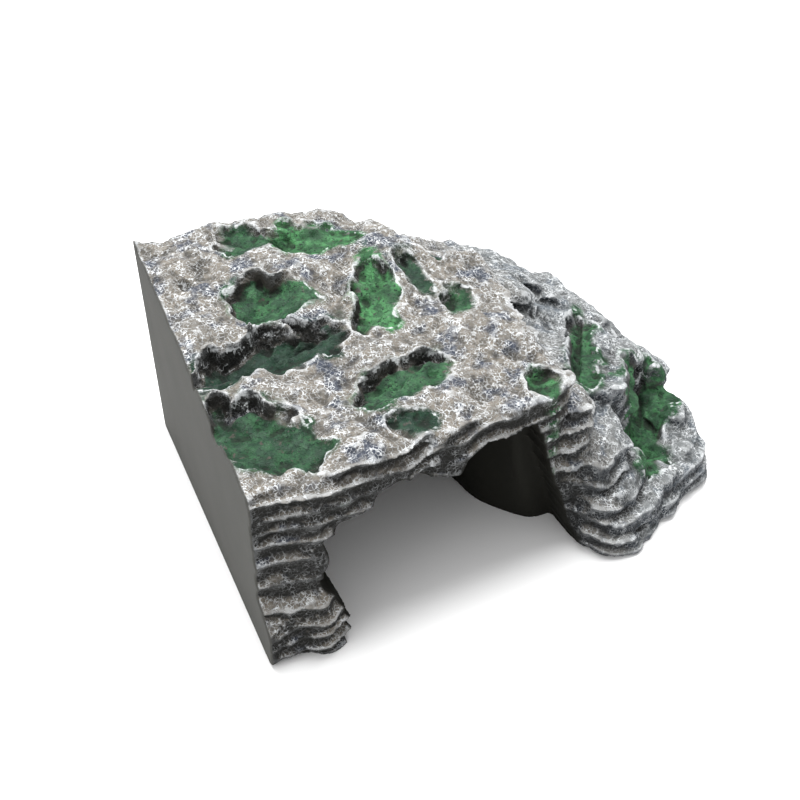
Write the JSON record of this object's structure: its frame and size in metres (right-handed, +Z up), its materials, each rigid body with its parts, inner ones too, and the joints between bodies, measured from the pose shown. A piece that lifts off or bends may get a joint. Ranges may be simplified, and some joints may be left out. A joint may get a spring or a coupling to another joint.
{
  "type": "cave ornament",
  "caption": "Hollow resin rock cave with an open bottom, a mouth in front, a stepped ramp at its right and moss in its hollows, flat at its left side and back.",
  "frame": {"origin": "middle of the footprint's box, on the surface that the rock stands on", "axes": "+Z up; +Y towards the flat back; +X along the back, from the flat left side towards the foot of the ramp"},
  "size_m": [0.21, 0.15, 0.091],
  "materials": {
    "cast_side": "matte",
    "painted_rock": "matte",
    "moss": "matte"
  },
  "bodies": {
    "root": {"arch_haunch": "painted_rock", "back_wall": "cast_side", "base_slab": "painted_rock", "cave_inner_wall": "painted_rock", "front_terrace": "painted_rock", "jamb_head": "painted_rock", "lower_ledge": "painted_rock", "lower_terrace": "painted_rock", "moss_back_left": "moss", "moss_back_middle": "moss", "moss_centre": "moss", "moss_channel": "moss", "moss_corner": "moss", "moss_front": "moss", "moss_lip_end": "moss", "moss_lower_valley": "moss", "moss_oval": "moss", "moss_round": "moss", "moss_shoulder": "moss", "moss_slot": "moss", "moss_small": "moss", "moss_upper_valley": "moss", "mouth_lip": "painted_rock", "outer_lobe": "painted_rock", "pillar_foot": "painted_rock", "pillar_shaft": "painted_rock", "ramp_back_wall": "cast_side", "ramp_shoulder": "painted_rock", "right_jamb": "painted_rock", "roof_slab": "painted_rock", "side_wall": "cast_side", "tongue_ledge": "painted_rock", "upper_terrace": "painted_rock"}
  },
  "joints": []
}
